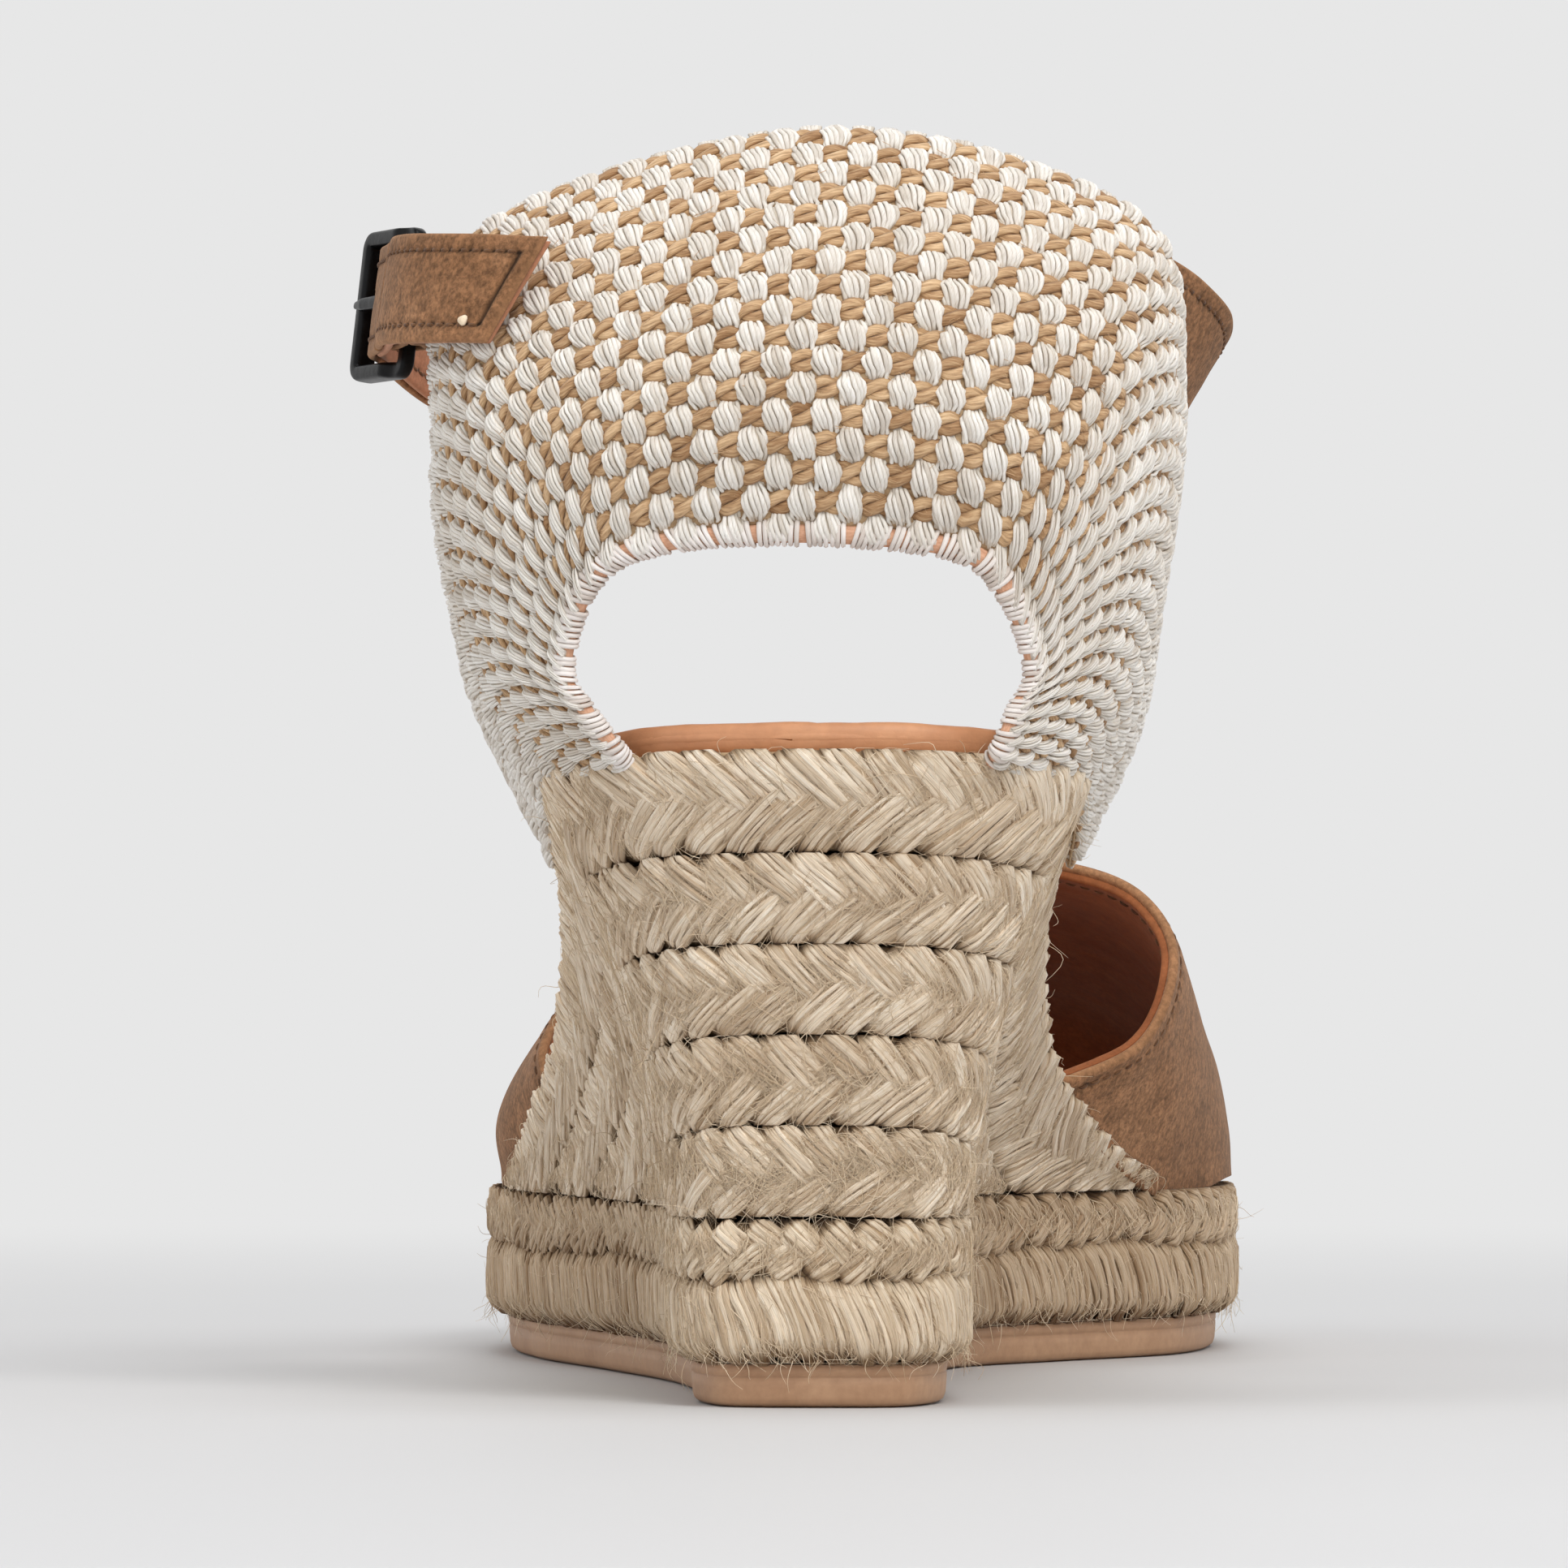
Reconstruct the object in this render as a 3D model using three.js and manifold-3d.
// Left-foot espadrille wedge sandal: jute-wrapped wedge, suede peep-toe vamp,
// woven elastic heel cuff and buckled ankle strap.
// Millimetres. +Z up, +Y towards the toe, +X towards the medial (inner) side.
// The origin is the middle of the heel's tread on the floor.
import {
  BoxGeometry, BufferAttribute, BufferGeometry, CatmullRomCurve3, CylinderGeometry,
  ExtrudeGeometry, Float32BufferAttribute, Group, MathUtils, Matrix4, Mesh,
  MeshStandardMaterial, Path, Shape, Vector3,
} from "three";
import { mergeVertices } from "three/addons/utils/BufferGeometryUtils.js";
import Module from "manifold-3d";

const { clamp, degToRad, lerp, smoothstep } = MathUtils;
const wasm = await Module();
wasm.setup();

// ---- Driving dimensions ----
const TREAD = 4.7; // rubber outsole thickness
const BASE_TOP = 20.7; // top of the base jute course, the platform height
// Course boundaries, measured down from the footbed edge.
const COURSE_DROP = [0, 11.2, 21.1, 31.0, 40.9, 50.9];
const BRAID = 7.0; // depth of a jute course, measured inwards
const BASE_BRAID = 9.0; // depth of the base course
const FLARE = 1.7; // exponent of the heel's flare from floor to footbed
const CLEARANCE = 0.35; // gap between neighbouring pieces
const SUEDE = 1.2; // vamp's outer layer
const LINING = 0.8; // vamp's inner layer
const CUFF_THICKNESS = 2.2;
const STRAP_WIDTH = 12.4;
const STRAP_SUEDE = 0.9; // strap's face layer
const STRAP_BACKING = 0.8; // strap's backing layer

// ---- Materials ----
const standard = (options) => new MeshStandardMaterial(options);
const materials = {
  rubber: standard({ color: 0xb08e72, roughness: 0.6 }),
  jute: standard({ color: 0xcdb896, roughness: 0.95 }),
  core: standard({ color: 0xa98f6c, roughness: 0.9 }),
  board: standard({ color: 0x8f8474, roughness: 0.9 }),
  foam: standard({ color: 0xe6dfd0, roughness: 0.95 }),
  leather: standard({ color: 0xc58a5c, roughness: 0.5 }),
  lining: standard({ color: 0xb9763f, roughness: 0.55 }),
  suede: standard({ color: 0xae8663, roughness: 0.95 }),
  weave: standard({ color: 0xe6e0d6, roughness: 0.95 }),
  metal: standard({ color: 0x26262a, roughness: 0.35, metalness: 0.9 }),
};

// ---- Curve and mesh helpers ----
// count + 1 evenly spaced values.
const steps = (count, from = 0, to = 1) =>
  Array.from({ length: count + 1 }, (_, i) => from + ((to - from) * i) / count);

const planCurve = (points, closed) =>
  new CatmullRomCurve3(points.map(([x, y]) => new Vector3(x, y, 0)), closed, "centripetal");

// The parameter between 0 and high at which a rising yOf reaches y, by bisection.
function parameterAtY(yOf, y, high) {
  let low = 0;
  for (let i = 0; i < 50; i++) {
    const middle = (low + high) / 2;
    if (yOf(middle) < y) low = middle;
    else high = middle;
  }
  return low;
}

// Indexed geometry, with its triangles turned to face outwards.
function geometryOf(points, triangles) {
  let volume = 0;
  for (const [a, b, c] of triangles) {
    volume += points[a].dot(new Vector3().crossVectors(points[b], points[c]));
  }
  const facing = volume < 0 ? triangles.map(([a, b, c]) => [a, c, b]) : triangles;
  const coordinates = points.flatMap((p) => [p.x, p.y, p.z]);
  return new BufferGeometry()
    .setAttribute("position", new Float32BufferAttribute(coordinates, 3))
    .setIndex(facing.flat());
}

// Rings of equal length joined into a solid; capped at both ends, or closed on itself.
function skin(rings, closed = false) {
  const size = rings[0].length;
  const points = rings.flat();
  const triangles = [];
  const spans = closed ? rings.length : rings.length - 1;
  for (let i = 0; i < spans; i++) {
    const here = i * size;
    const next = ((i + 1) % rings.length) * size;
    for (let j = 0; j < size; j++) {
      const k = (j + 1) % size;
      triangles.push([here + j, here + k, next + k], [here + j, next + k, next + j]);
    }
  }
  if (closed) return geometryOf(points, triangles);
  for (const i of [0, rings.length - 1]) {
    const middle = points.length;
    points.push(rings[i].reduce((sum, p) => sum.add(p), new Vector3()).multiplyScalar(1 / size));
    for (let j = 0; j < size; j++) {
      const a = i * size + j;
      const b = i * size + ((j + 1) % size);
      triangles.push(i === 0 ? [b, a, middle] : [a, b, middle]);
    }
  }
  return geometryOf(points, triangles);
}

// Two matching grids, the two faces of a sheet, closed round their rim.
function sheet(front, back) {
  const rows = front.length;
  const columns = front[0].length;
  const triangles = [];
  const onFront = (i, j) => i * columns + j;
  const onBack = (i, j) => (rows + i) * columns + j;
  for (let i = 0; i < rows - 1; i++) {
    for (let j = 0; j < columns - 1; j++) {
      triangles.push(
        [onFront(i, j), onFront(i + 1, j), onFront(i + 1, j + 1)],
        [onFront(i, j), onFront(i + 1, j + 1), onFront(i, j + 1)],
        [onBack(i, j), onBack(i + 1, j + 1), onBack(i + 1, j)],
        [onBack(i, j), onBack(i, j + 1), onBack(i + 1, j + 1)],
      );
    }
  }
  const rim = [];
  for (let j = 0; j < columns - 1; j++) rim.push([0, j]);
  for (let i = 0; i < rows - 1; i++) rim.push([i, columns - 1]);
  for (let j = columns - 1; j > 0; j--) rim.push([rows - 1, j]);
  for (let i = rows - 1; i > 0; i--) rim.push([i, 0]);
  rim.forEach((here, k) => {
    const next = rim[(k + 1) % rim.length];
    triangles.push(
      [onFront(...here), onFront(...next), onBack(...next)],
      [onFront(...here), onBack(...next), onBack(...here)],
    );
  });
  return geometryOf([...front.flat(), ...back.flat()], triangles);
}

// Smooth surface through rows of control points: u runs across the rows, v along them.
function gridSurface(rows) {
  const curve = (points) => new CatmullRomCurve3(points, false, "catmullrom", 0.5);
  const rowCurves = rows.map((row) => curve(row.map((p) => new Vector3(...p))));
  return (u, v) => curve(rowCurves.map((row) => row.getPoint(v))).getPoint(u);
}

// Grid of a surface moved along its own normals (u direction x v direction) by a distance.
function offsetGrid(surface, us, vs, distance) {
  const e = 0.004; // parameter step for the slopes
  return us.map((u) => vs.map((v) => {
    const alongU = surface(Math.min(u + e, 1), v).sub(surface(Math.max(u - e, 0), v));
    const alongV = surface(u, Math.min(v + e, 1)).sub(surface(u, Math.max(v - e, 0)));
    return surface(u, v).addScaledVector(alongU.cross(alongV).normalize(), distance);
  }));
}

// ---- Solid helpers ----
function solid(geometry) {
  const bare = new BufferGeometry()
    .setAttribute("position", geometry.getAttribute("position"))
    .setIndex(geometry.index);
  const merged = mergeVertices(bare, 1e-4);
  return new wasm.Manifold(new wasm.Mesh({
    numProp: 3,
    vertProperties: merged.attributes.position.array,
    triVerts: new Uint32Array(merged.index.array),
  }));
}

function geometryFrom(made) {
  const mesh = made.getMesh();
  return new BufferGeometry()
    .setAttribute("position", new BufferAttribute(new Float32Array(mesh.vertProperties), 3))
    .setIndex(new BufferAttribute(new Uint32Array(mesh.triVerts), 1));
}

// The largest separate bodies of a solid, as geometries.
const largest = (made, count) =>
  made.decompose().sort((a, b) => b.volume() - a.volume()).slice(0, count).map(geometryFrom);

// ---- Sole outlines ----
// [x, y] at floor level and footbed level, matched point for point,
// from the back centre round the lateral side.
const FLOOR = [
  [0, -18], [-11.5, -15.8], [-16.3, -5], [-17.6, 15], [-22.5, 45], [-33, 80],
  [-43.5, 112], [-49.2, 145], [-46.2, 178], [-32.8, 208], [-6.5, 222.5], [17.5, 219],
  [34.5, 201], [43.3, 176], [44.8, 152], [40.5, 129], [27, 108], [15.2, 88],
  [13.4, 52], [15.8, 15], [16.3, -5], [11.5, -15.8],
];
const FOOTBED = [
  [0, -28.5], [-19, -24.5], [-29.8, -10], [-32, 12], [-33, 45], [-36.2, 78],
  [-43.8, 111], [-49.2, 145], [-46.2, 178], [-32.8, 208], [-6.5, 222.5], [17.5, 219],
  [34.5, 201], [43.3, 176], [44.8, 152], [40.5, 129], [31.5, 107], [25, 86],
  [24.6, 52], [28.4, 15], [29.5, -10], [18.5, -24.5],
];
// Footbed edge height: [y, z]. Level beyond the last station.
const EDGE = [
  [-40, 72.6], [-28, 71.8], [-10, 69.8], [0, 68.3], [15, 65.3], [30, 61], [45, 55.5],
  [60, 49.5], [75, 42.5], [90, 34.8], [100, 29.6], [110, 25.2], [120, 22.2],
  [130, 20.9], [140, BASE_TOP],
];
const floorCurve = planCurve(FLOOR, true);
const footbedCurve = planCurve(FOOTBED, true);
const AROUND = steps(71, 0, 71 / 72); // outline parameters of the full rings
// Signs of the outline parameter, counted from the back centre.
const LATERAL = 1;
const MEDIAL = -1;
const ABOVE = 1e3; // any height over the footbed: the flank there has the footbed's outline

const wrap = (t) => ((t % 1) + 1) % 1;
const footbedY = (t) => footbedCurve.getPoint(wrap(t)).y;

function edgeZ(y) {
  const next = EDGE.findIndex(([stationY]) => y <= stationY);
  if (next < 0) return BASE_TOP;
  const [y0, z0] = EDGE[next - 1];
  const [y1, z1] = EDGE[next];
  return z0 + ((z1 - z0) * (y - y0)) / (y1 - y0);
}
const topAt = (t) => edgeZ(footbedY(t));

// A point on the sole's flank: t round the outline, z up, inset towards the inside.
function flank(t, z, inset = 0) {
  const onSurface = (q) => {
    const rise = clamp((z - BASE_TOP) / Math.max(topAt(q) - BASE_TOP, 0.5), 0, 1);
    const u = wrap(q);
    return floorCurve.getPoint(u).lerp(footbedCurve.getPoint(u), rise ** FLARE);
  };
  const p = onSurface(t);
  const direction = onSurface(t + 0.004).sub(onSurface(t - 0.004)).normalize();
  // The outline runs clockwise seen from above, so the inside is to its right.
  return new Vector3(p.x + direction.y * inset, p.y - direction.x * inset, z);
}

// Outline parameter, signed by side, where the footbed edge reaches a given Y.
const sideParameter = (y, side) => side * parameterAtY((t) => footbedY(side * t), y, 0.44);

// ---- Outsole and base ----
const BASE_LOW = TREAD + 0.4; // underside of the base course
const BASE_HIGH = BASE_TOP - 0.3; // its upper face

// One moulded sheet under the whole sole, set in from the jute.
function rubberOutsole() {
  const profile = [[0, 3.5], [0.9, 2.8], [TREAD, 2.4]]; // [z, inset]
  return skin(profile.map(([z, inset]) => AROUND.map((t) => flank(t, z, inset))));
}

function juteBaseCourse() {
  // [inset, z]
  const profile = [
    [0.9, BASE_LOW], [0, 8], [0, 17.6], [0.9, BASE_HIGH],
    [BASE_BRAID, BASE_HIGH], [BASE_BRAID, BASE_LOW],
  ];
  return skin(AROUND.map((t) => profile.map(([inset, z]) => flank(t, z, inset))), true);
}

// The jute inside the base course.
function juteSoleFiller() {
  const inset = BASE_BRAID + CLEARANCE;
  return skin([BASE_LOW, BASE_HIGH].map((z) => AROUND.map((t) => flank(t, z, inset))));
}

// ---- Wedge ----
// A horseshoe of braid round the heel, tapering out on the base course.
function wedgeCourse(index) {
  const gap = 0.15; // left free above and below each course
  const drop = COURSE_DROP[index];
  let endY = 0; // the course ends where no more than 2 mm is left over the base course
  while (edgeZ(endY) - drop - BASE_TOP > 2) endY += 0.5;
  const ends = [sideParameter(endY, LATERAL), sideParameter(endY, MEDIAL)];
  return skin(steps(40, ...ends).map((t) => {
    const top = topAt(t);
    const high = top - drop - gap;
    const low = Math.max(top - COURSE_DROP[index + 1], BASE_TOP) + gap;
    const chamfer = Math.min(0.8, (high - low) / 3);
    const ring = [
      [chamfer, low], [0, low + chamfer], [0, high - chamfer], [chamfer, high],
      [BRAID, high], [BRAID, low],
    ].map(([inset, z]) => flank(t, z, inset));
    // The top course carries the footbed, so its upper face follows the footbed's slope
    // across its own depth.
    if (index === 0) {
      const inner = ring[4];
      inner.z = Math.max(Math.min(high, edgeZ(inner.y) - 0.3), low + 0.4);
    }
    return ring;
  }));
}

// Fills the inside of the courses, in cross-sections from the heel forwards.
function wedgeCore() {
  const inset = BRAID + 1.3;
  const low = BASE_TOP + 0.2;
  const frontY = 106;
  const column = (t) => {
    const high = Math.min(topAt(t), edgeZ(flank(t, ABOVE, inset).y)) - 2;
    const height = Math.max(high - low, 0.8);
    return steps(6).map((s) => flank(t, low + height * s, inset));
  };
  const lateral = sideParameter(frontY, LATERAL);
  const medial = sideParameter(frontY, MEDIAL);
  // Starts just off the back centre, where the two columns would meet.
  return skin(steps(26, 0.045, 1).map((q) =>
    [...column(lateral * q), ...column(medial * q).reverse()]));
}

// ---- Footbed layers, laid on the wedge and the jute edge ----
// Y of the cross-sections.
const FOOTBED_STATIONS = [
  -23.4, -22, -20, -17, -13, -8, -2, 5, 12, 19, 26, 33, 40, 47, 54, 61, 68, 75, 82, 88, 94,
  100, 106, 112, 118, 125, 134, 146, 158, 170, 180, 189, 196, 202, 206.5, 210, 212.5, 214,
];
const footbedInset = (y) => lerp(4.4, 6.2, smoothstep(y, 75, 100));

// X where a line first crosses a Y, or of its first point if it doesn't reach that far.
function crossingX(line, y) {
  for (let i = 1; i < line.length; i++) {
    const a = line[i - 1];
    const b = line[i];
    if ((a.y - y) * (b.y - y) <= 0 && b.y !== a.y) {
      return a.x + ((b.x - a.x) * (y - a.y)) / (b.y - a.y);
    }
  }
  return line[0].x;
}

// low and high are heights over the footbed edge.
function footbedLayer({ extraInset, low, high, backY, frontY }) {
  const [lateral, medial] = [LATERAL, MEDIAL].map((side) => steps(200, 0, side * 0.5).map((t) =>
    flank(t, ABOVE, footbedInset(footbedY(t)) + extraInset)));
  const between = FOOTBED_STATIONS.filter((y) => y > backY + 0.3 && y < frontY - 0.3);
  return skin([backY, ...between, frontY].map((y) => {
    const left = crossingX(lateral, y);
    const right = crossingX(medial, y);
    return [[left, low], [right, low], [right, high], [left, high]].map(([x, height]) =>
      new Vector3(x, y, edgeZ(y) + height));
  }));
}
const insoleBoard = () =>
  footbedLayer({ extraInset: 0, low: 0.1, high: 1.2, backY: -23.9, frontY: 215 });
const insoleCushion = () =>
  footbedLayer({ extraInset: 0.6, low: 1.4, high: 2.3, backY: -23.2, frontY: 118 });
const leatherSock = () =>
  footbedLayer({ extraInset: 0, low: 2.5, high: 3.4, backY: -23.9, frontY: 215 });

// ---- Vamp ----
// [x, y, z] in rows from the throat to the toe opening, each from the lateral to the
// medial sole edge.
const VAMP = [
  [[-38.4, 96, 32.2], [-39.2, 101, 38.5], [-33.5, 112, 47.5], [-20, 120, 55.2],
    [-5, 124, 60], [10, 124.5, 62], [24, 121.8, 61.2], [33.8, 117.4, 57.4],
    [38.2, 110.8, 49.4], [34.5, 101, 40.5], [26.8, 92, 34.8]],
  [[-46.2, 126, 21.9], [-46.4, 129.5, 30.5], [-39.5, 138, 41.5], [-26, 143.5, 50.3],
    [-8, 146.5, 56], [10, 146.5, 58], [25, 145, 56.5], [35.6, 141, 50.5],
    [40.8, 135.5, 41.5], [40.6, 129, 31], [39, 122.5, 22.5]],
  [[-48, 152, 21.6], [-47.4, 154.5, 29.5], [-39, 160, 39], [-25.5, 165, 46.5],
    [-8, 168, 51], [9, 168.5, 52.6], [24, 167.5, 50.6], [35, 163.5, 45],
    [41.5, 158.5, 37], [43.8, 153, 28.5], [43.9, 149, 21.6]],
  [[-44.8, 180, 21.6], [-44, 181, 27.4], [-35.6, 184, 35.6], [-23, 188, 41.6],
    [-8, 190.5, 45], [8, 191, 45.8], [21, 190, 44.2], [32.2, 187, 39.6],
    [39.2, 183.5, 33.6], [41.8, 180.5, 27], [42, 178, 21.6]],
  [[-34, 204.5, 21.6], [-33.4, 204, 24.6], [-27.4, 203.5, 29.6], [-18.6, 203, 34],
    [-8, 203, 36.9], [4, 203.5, 37.9], [14.8, 204, 36.4], [23.6, 204.2, 33],
    [29.8, 204, 28.6], [32.6, 203.4, 24.6], [33, 203, 21.6]],
];
const vampSurface = gridSurface(VAMP);

// A layer between two depths, measured inwards from the vamp's outer surface.
function vampLayer(depth, thickness) {
  const face = (distance) => offsetGrid(vampSurface, steps(12), steps(20), distance);
  return sheet(face(depth), face(depth + thickness));
}

// ---- Woven elastic heel cuff ----
// An inverted U. [x, y, z] in rows from the lateral end over the heel to the medial end,
// each from the arch's inner edge to its outer edge.
const CUFF = [
  [[-20.6, -25.3, 72.2], [-28, -12.5, 71.2], [-31, 3, 68.6], [-31.9, 19, 65.2], [-32.3, 33, 61.2]],
  [[-23.8, -24.4, 76.4], [-32.4, -13.8, 77.2], [-36.6, 1.8, 76.4], [-37.7, 17, 75], [-37.2, 31, 73]],
  [[-26, -22.5, 81], [-35.1, -14, 83.7], [-39.3, 0.5, 84.4], [-40, 15, 85], [-39.2, 28.5, 85.6]],
  [[-22.6, -25.5, 89.6], [-33.6, -21.6, 96.5], [-40.7, -8.8, 101.8], [-42.3, 5.2, 106.4],
    [-41.2, 18, 110.6]],
  [[-15.5, -27.6, 93], [-24.5, -28.2, 104.5], [-32.6, -22.5, 114.5], [-37.2, -11.7, 123.2],
    [-38, 1.2, 130.2]],
  [[-0.5, -28.6, 93.9], [-1, -31.6, 107], [-0.5, -29.4, 119.2], [0, -22, 130.6], [1, -12.2, 140.4]],
  [[15, -27.4, 92.5], [23.4, -28, 104.5], [30.2, -22.2, 115.4], [33.8, -11.8, 125],
    [34.4, 0.8, 132.4]],
  [[20.4, -25.2, 88.6], [31.2, -21, 97], [37.2, -9, 103.8], [39.2, 5, 110], [39, 17, 115.6]],
  [[23.6, -22, 80.6], [31, -13.6, 84], [35.2, 0.3, 86], [36.4, 14.8, 87.4], [36.2, 27.8, 88.4]],
  [[22, -24.2, 76.4], [29.5, -13.6, 77.2], [33.2, 1.6, 77], [34.2, 17, 76.2], [33.8, 30.6, 74.8]],
  [[20.4, -25.1, 72.2], [27.4, -12.5, 71.2], [29.2, 3, 68.6], [28.7, 19, 65.2], [27.6, 33, 61.2]],
];
// Flex axis of the cuff legs, parallel to X, and the radius their sewn-in ends reach.
const FOLD = { y: 4, z: 58, radius: 34 };

function foldDrum(radius) {
  const drum = new CylinderGeometry(radius, radius, 140, 48);
  return solid(drum.rotateZ(Math.PI / 2).translate(0, FOLD.y, FOLD.z));
}

function addCuff() {
  const surface = gridSurface(CUFF);
  const face = (distance) => offsetGrid(surface, steps(34), steps(9), distance);
  const whole = solid(sheet(face(CUFF_THICKNESS / 2), face(-CUFF_THICKNESS / 2)));
  const [cuff] = largest(whole.subtract(foldDrum(FOLD.radius + CLEARANCE)), 1);
  add("woven_elastic_cuff", cuff, materials.weave);
  for (const anchor of largest(whole.intersect(foldDrum(FOLD.radius)), 2)) {
    anchor.computeBoundingBox();
    const side = anchor.boundingBox.max.x < 0 ? "lateral" : "medial";
    add(`cuff_anchor_${side}`, anchor, materials.weave);
  }
}

// ---- Buckle's frame of reference ----
const BAR = new Vector3(-46.8, 15, 123.2); // centre of the buckle's rear bar
const BUCKLE_LEAN = degToRad(7);
const up = new Vector3(0, 0, 1);
const along = new Vector3(-0.479, 0.878, 0).normalize(); // from the rear bar to the front bar
const levelOut = new Vector3(-along.y, along.x, 0); // level, away from the foot
// Upwards, tipped towards the foot by an angle.
const tippedUp = (angle) =>
  up.clone().multiplyScalar(Math.cos(angle)).addScaledVector(levelOut, -Math.sin(angle));
const barUp = tippedUp(BUCKLE_LEAN);
const outward = new Vector3().crossVectors(barUp, along).normalize();

// Places x along the buckle, y outwards and z up the bar.
function buckleMatrix(forwards = 0, outwards = 0) {
  const origin = BAR.clone().addScaledVector(along, forwards).addScaledVector(outward, outwards);
  return new Matrix4().makeBasis(along, outward, barUp).setPosition(origin);
}

// Cuts a box, centred forwards and outwards of the rear bar, to clear the prong.
function cutForProng(geometry, { length, height, forwards, outwards }) {
  const box = new BoxGeometry(length, 12, height);
  box.applyMatrix4(buckleMatrix(forwards, outwards));
  return largest(solid(geometry).subtract(solid(box)), 1)[0];
}

// ---- Ankle strap ----
// Middle line from the tail's tip over the rear bar, inside the front bar, round the ankle
// and back inside the cuff: [x, y, z, lean in degrees], the lean positive where the band's
// top edge leans outwards.
const STRAP = [
  [-29.4, -25.2, 121.6, -16], [-39, -18.6, 122.3, -14], [-44.4, -11.8, 122.8, -11],
  [-47.2, -4.5, 123, -9], [-48.1, 1.5, 123, -8], [-49.1, 7.5, 123, -7],
  [-50.15, 13.4, 123.1, -7], [-50.6, 20, 123.1, -7], [-49.9, 27.3, 122.7, -7],
  [-48.7, 34, 121.2, -6], [-44.2, 43.5, 118, -4], [-34.5, 53.5, 113.8, 0],
  [-17, 62, 110.2, 6], [4, 63.8, 109, 12], [22, 59, 109.8, 18], [34.8, 48.5, 112, 25],
  [40.8, 37.5, 114.8, 31], [41.5, 28, 117.8, 31], [39.4, 20, 120.2, 22], [36.6, 13, 122, 9],
  [34.8, 7, 123.2, -4], [33.3, 1.2, 123.8, -12], [30.9, -4.2, 124.2, -19], [27.8, -9, 124.4, -23],
];
const strapCurve = new CatmullRomCurve3(
  STRAP.map(([x, y, z]) => new Vector3(x, y, z)), false, "centripetal");
const strapLength = strapCurve.getLength();

function strapLean(s) {
  const t = strapCurve.getUtoTmapping(s) * (STRAP.length - 1);
  const i = Math.min(Math.floor(t), STRAP.length - 2);
  return degToRad(lerp(STRAP[i][3], STRAP[i + 1][3], t - i));
}

// s is the fraction of the strap's length, depth is outwards, height is up its width.
function strapPoint(s, depth, height) {
  const direction = strapCurve.getTangentAt(s);
  // Walking from the tail forwards along the lateral side, the outside is to the left.
  const side = new Vector3(-direction.y, direction.x, 0).normalize();
  const angle = strapLean(s);
  const lean = up.clone().multiplyScalar(Math.cos(angle)).addScaledVector(side, Math.sin(angle));
  const face = new Vector3().crossVectors(lean, direction).normalize();
  const width = new Vector3().crossVectors(direction, face).normalize();
  return strapCurve.getPointAt(s).addScaledVector(width, height).addScaledVector(face, depth);
}

// slant is how much later the lower edge starts than the upper one.
function strapLayer({ from, to, sections, inner, thickness, half, slant = 0 }) {
  const outer = inner + thickness;
  return skin(steps(sections, from, to).map((s, i) => {
    const cut = i === 0 ? slant : 0;
    return [
      [inner, -half, cut], [inner, 0, cut / 2], [inner, half, 0],
      [outer, half, 0], [outer, 0, cut / 2], [outer, -half, cut],
    ].map(([depth, height, shift]) =>
      // The limit keeps rounding from passing the strap's end.
      strapPoint(Math.min(s + shift / strapLength, 1), depth, height));
  }));
}

const TAIL_END = parameterAtY((s) => strapCurve.getPointAt(s).y, 1.5, 0.5); // tail meets strap
const END_GAP = CLEARANCE / strapLength; // left free on either side of TAIL_END
const TAIL_CLEARANCE = 0.3; // between the tail's two layers
const HALF_WIDTH = STRAP_WIDTH / 2;
const BACKING_HALF = HALF_WIDTH - 0.3;
const MAIN_SPAN = { from: TAIL_END + END_GAP, to: 1, sections: 88 };
const TAIL_SPAN = { to: TAIL_END - END_GAP, sections: 12, slant: 5.2 };
const SLOT = { length: 10.2, height: 2.7, forwards: 3.5, outwards: 1.5 };

const strapSuede = () => cutForProng(
  strapLayer({ ...MAIN_SPAN, inner: 0, thickness: STRAP_SUEDE, half: HALF_WIDTH }), SLOT);

const strapBacking = () => cutForProng(strapLayer({
  ...MAIN_SPAN,
  inner: -STRAP_BACKING - CLEARANCE,
  thickness: STRAP_BACKING,
  half: BACKING_HALF,
}), SLOT);

const tailSuede = () =>
  strapLayer({ ...TAIL_SPAN, from: 0, inner: 0, thickness: STRAP_SUEDE, half: HALF_WIDTH });

const tailBacking = () => strapLayer({
  ...TAIL_SPAN,
  from: 0.002,
  inner: -STRAP_BACKING - TAIL_CLEARANCE,
  thickness: STRAP_BACKING,
  half: BACKING_HALF,
});

// ---- Buckle ----
const FRAME_LENGTH = 11.6; // from bar to bar
const FRAME_HEIGHT = 17.3;
const WIRE = 1.9; // width of the bars

function roundedRectangle(outline, x0, x1, halfHeight, radius) {
  const y0 = -halfHeight;
  const y1 = halfHeight;
  outline.moveTo(x0 + radius, y0);
  outline.lineTo(x1 - radius, y0);
  outline.quadraticCurveTo(x1, y0, x1, y0 + radius);
  outline.lineTo(x1, y1 - radius);
  outline.quadraticCurveTo(x1, y1, x1 - radius, y1);
  outline.lineTo(x0 + radius, y1);
  outline.quadraticCurveTo(x0, y1, x0, y1 - radius);
  outline.lineTo(x0, y0 + radius);
  outline.quadraticCurveTo(x0, y0, x0 + radius, y0);
  return outline;
}

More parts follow.
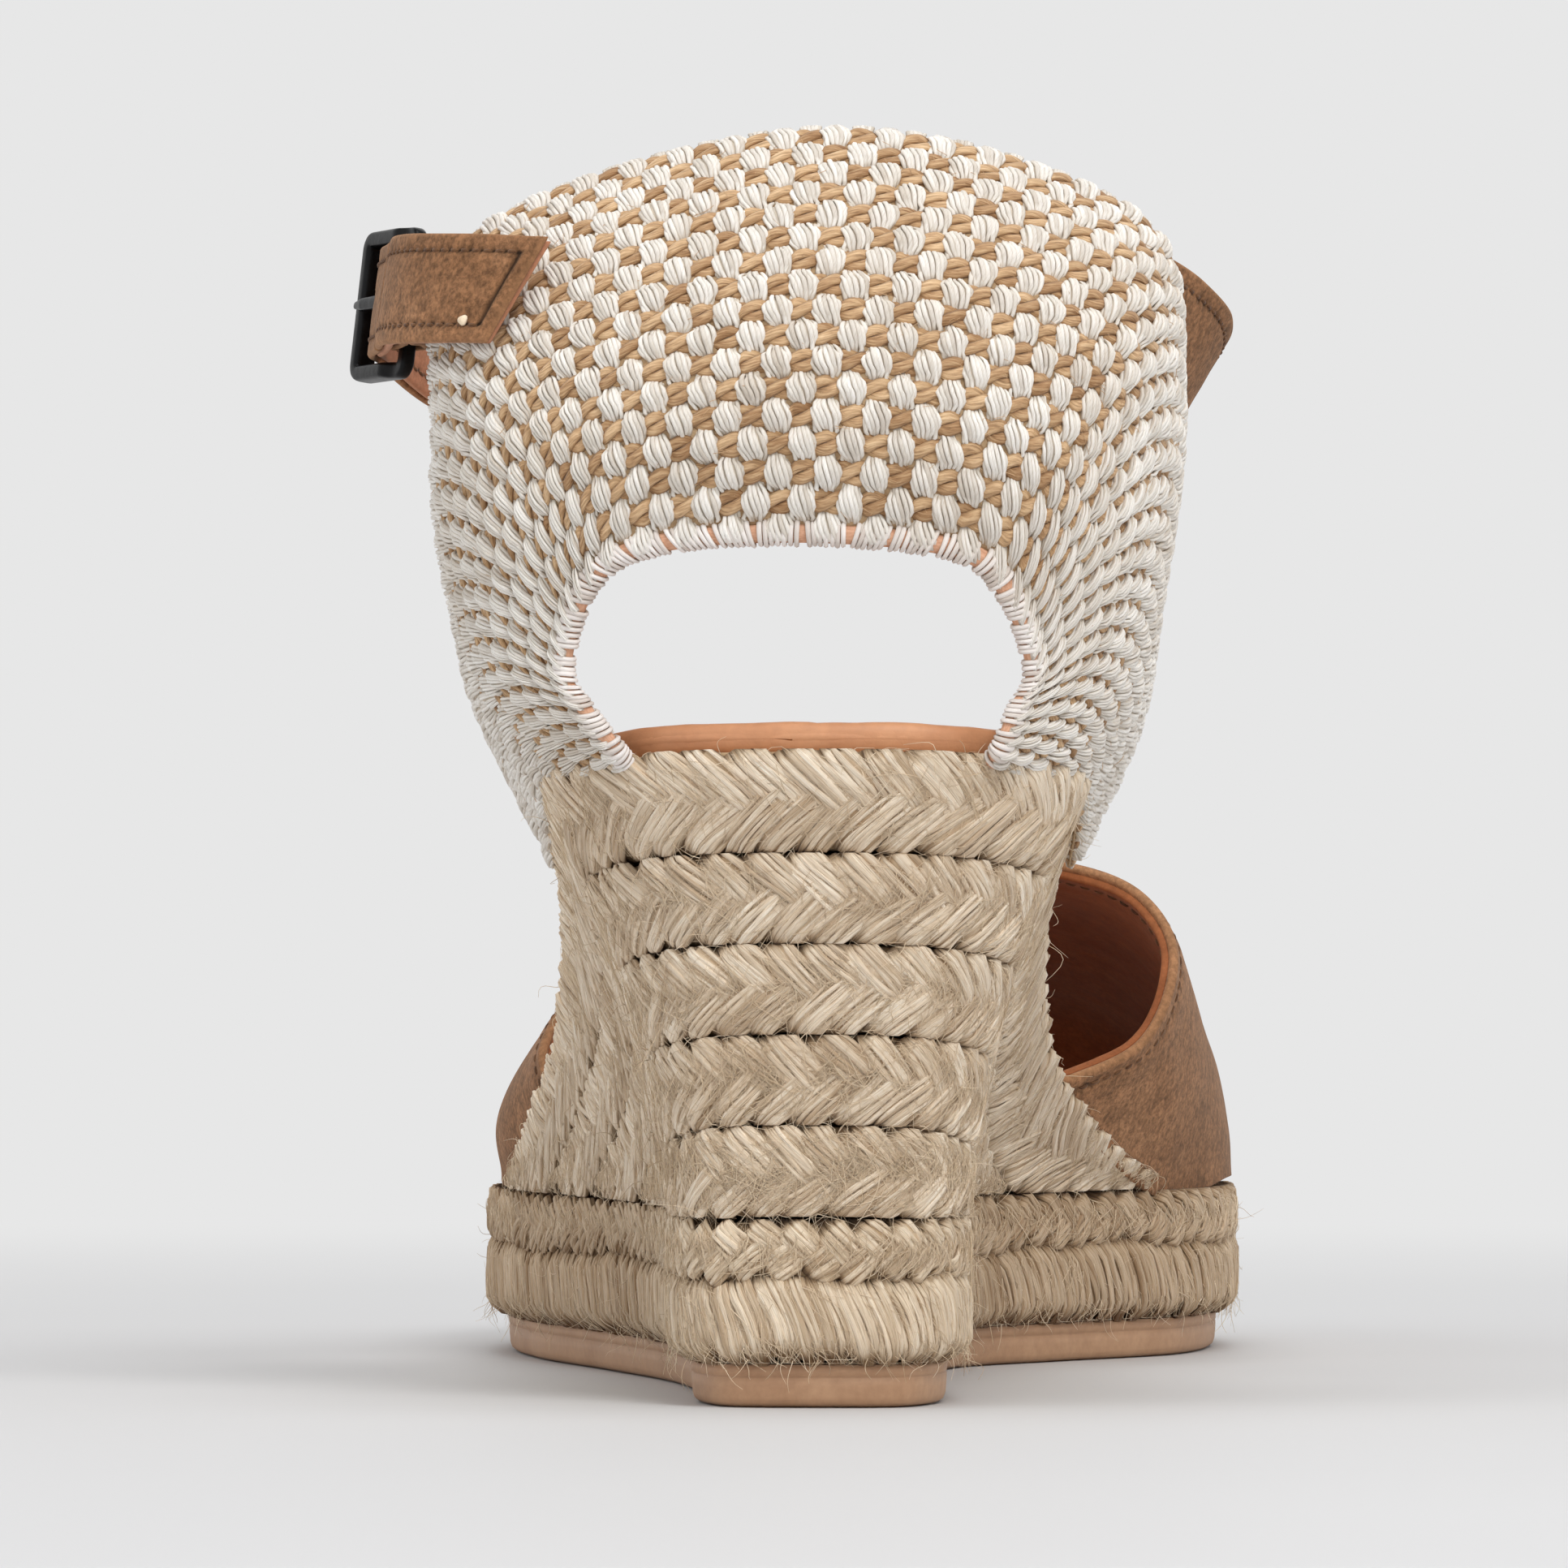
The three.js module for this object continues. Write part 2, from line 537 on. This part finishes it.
// A flat rounded rectangle with a window.
function buckleFrame() {
  const half = WIRE / 2;
  const depth = 0.8; // between the bevels
  const bevel = 0.4;
  const shape = roundedRectangle(new Shape(), -half, FRAME_LENGTH + half, FRAME_HEIGHT / 2, 2.2);
  shape.holes.push(roundedRectangle(
    new Path(), half, FRAME_LENGTH - half, FRAME_HEIGHT / 2 - WIRE, 0.8));
  const frame = new ExtrudeGeometry(shape, {
    depth,
    bevelEnabled: true,
    bevelThickness: bevel,
    bevelSize: bevel,
    bevelOffset: -bevel,
    bevelSegments: 2,
    curveSegments: 5,
  });
  frame.translate(0, 0, -depth / 2);
  // Extruding towards the foot keeps the axes right-handed.
  const inward = outward.clone().negate();
  return frame.applyMatrix4(new Matrix4().makeBasis(along, barUp, inward).setPosition(BAR));
}

// An eye round the rear bar and a tapering shank that reaches the front bar.
function buckleProng() {
  const width = 2.0;
  const eye = new Shape();
  eye.absarc(0, 0, 2.35, 0, Math.PI * 2, false);
  const bore = new Path();
  bore.absarc(0, 0, 1.5, 0, Math.PI * 2, true);
  eye.holes.push(bore);
  const ring = new ExtrudeGeometry(eye, { depth: width, bevelEnabled: false, curveSegments: 16 });
  ring.translate(0, 0, -width / 2);
  // [distance from the rear bar, distance outwards, half thickness, half width]
  const stations = [
    [1.15, 1.85, 0.55, 0.95], [4, 2.25, 0.6, 0.8], [9.4, 2.15, 0.55, 0.7],
    [12.3, 1.85, 0.4, 0.5], [13.2, 1.6, 0.25, 0.3],
  ];
  const shank = skin(stations.map(([x, y, thick, wide]) =>
    [[-thick, -wide], [-thick, wide], [thick, wide], [thick, -wide]].map(([dy, z]) =>
      new Vector3(x, y + dy, z))));
  return largest(solid(ring).add(solid(shank)), 1)[0].applyMatrix4(buckleMatrix());
}

// A strip of suede folded round the rear bar, notched for the prong.
function buckleTab() {
  const thickness = 0.8;
  const width = 10.8;
  const nearBar = (forwards, outwards) => [
    BAR.x + along.x * forwards + levelOut.x * outwards,
    BAR.y + along.y * forwards + levelOut.y * outwards,
  ];
  // [x, y] along the outer leg, round the bar and back along the inner leg.
  const fold = planCurve([
    [-45.0, -6], [-45.45, -2], [-45.8, 3], [-46.6, 8],
    nearBar(-1.2, 1.75), nearBar(0.4, 1.65), nearBar(1.55, 1.05), nearBar(1.85, 0),
    nearBar(1.55, -1.05), nearBar(0.4, -1.65), nearBar(-1.2, -1.75),
    [-44.6, 10.6], [-44.5, 6], [-44.3, 0], [-43.95, -6],
  ], false);
  const t = thickness / 2;
  const h = width / 2;
  const strip = skin(steps(40).map((s) => {
    const p = fold.getPointAt(s);
    // The legs lean more and drop a little towards their ends.
    const far = clamp((8 - p.y) / 12, 0, 1);
    p.z = BAR.z - 0.8 * far;
    const rise = tippedUp(BUCKLE_LEAN + degToRad(6) * far);
    const face = new Vector3().crossVectors(rise, fold.getTangentAt(s)).normalize();
    return [[t, -h], [t, h], [-t, h], [-t, -h]].map(([depth, height]) =>
      p.clone().addScaledVector(face, depth).addScaledVector(rise, height));
  }));
  return cutForProng(strip, { length: 9.0, height: 3.0, forwards: 1.2, outwards: 0 });
}

// ---- Assembly ----
const sandal = new Group();

function add(name, geometry, material, parent = sandal) {
  const mesh = new Mesh(geometry, material);
  mesh.name = name;
  parent.add(mesh);
}

add("rubber_outsole", rubberOutsole(), materials.rubber);
add("jute_base_course", juteBaseCourse(), materials.jute);
add("jute_sole_filler", juteSoleFiller(), materials.jute);
for (let i = 0; i < COURSE_DROP.length - 1; i++) {
  add(`jute_course_${i + 1}`, wedgeCourse(i), materials.jute);
}
add("wedge_core", wedgeCore(), materials.core);
add("insole_board", insoleBoard(), materials.board);
add("insole_cushion", insoleCushion(), materials.foam);
add("leather_sock", leatherSock(), materials.leather);
add("suede_vamp", vampLayer(0, SUEDE), materials.suede);
add("vamp_lining", vampLayer(SUEDE + CLEARANCE, LINING), materials.lining);
addCuff();
add("ankle_strap_suede", strapSuede(), materials.suede);
add("ankle_strap_backing", strapBacking(), materials.lining);
add("strap_tail_suede", tailSuede(), materials.suede);
add("strap_tail_backing", tailBacking(), materials.lining);
const buckle = new Group();
add("buckle_frame", buckleFrame(), materials.metal, buckle);
add("buckle_prong", buckleProng(), materials.metal, buckle);
sandal.add(buckle);
add("buckle_tab", buckleTab(), materials.suede);

export default sandal;
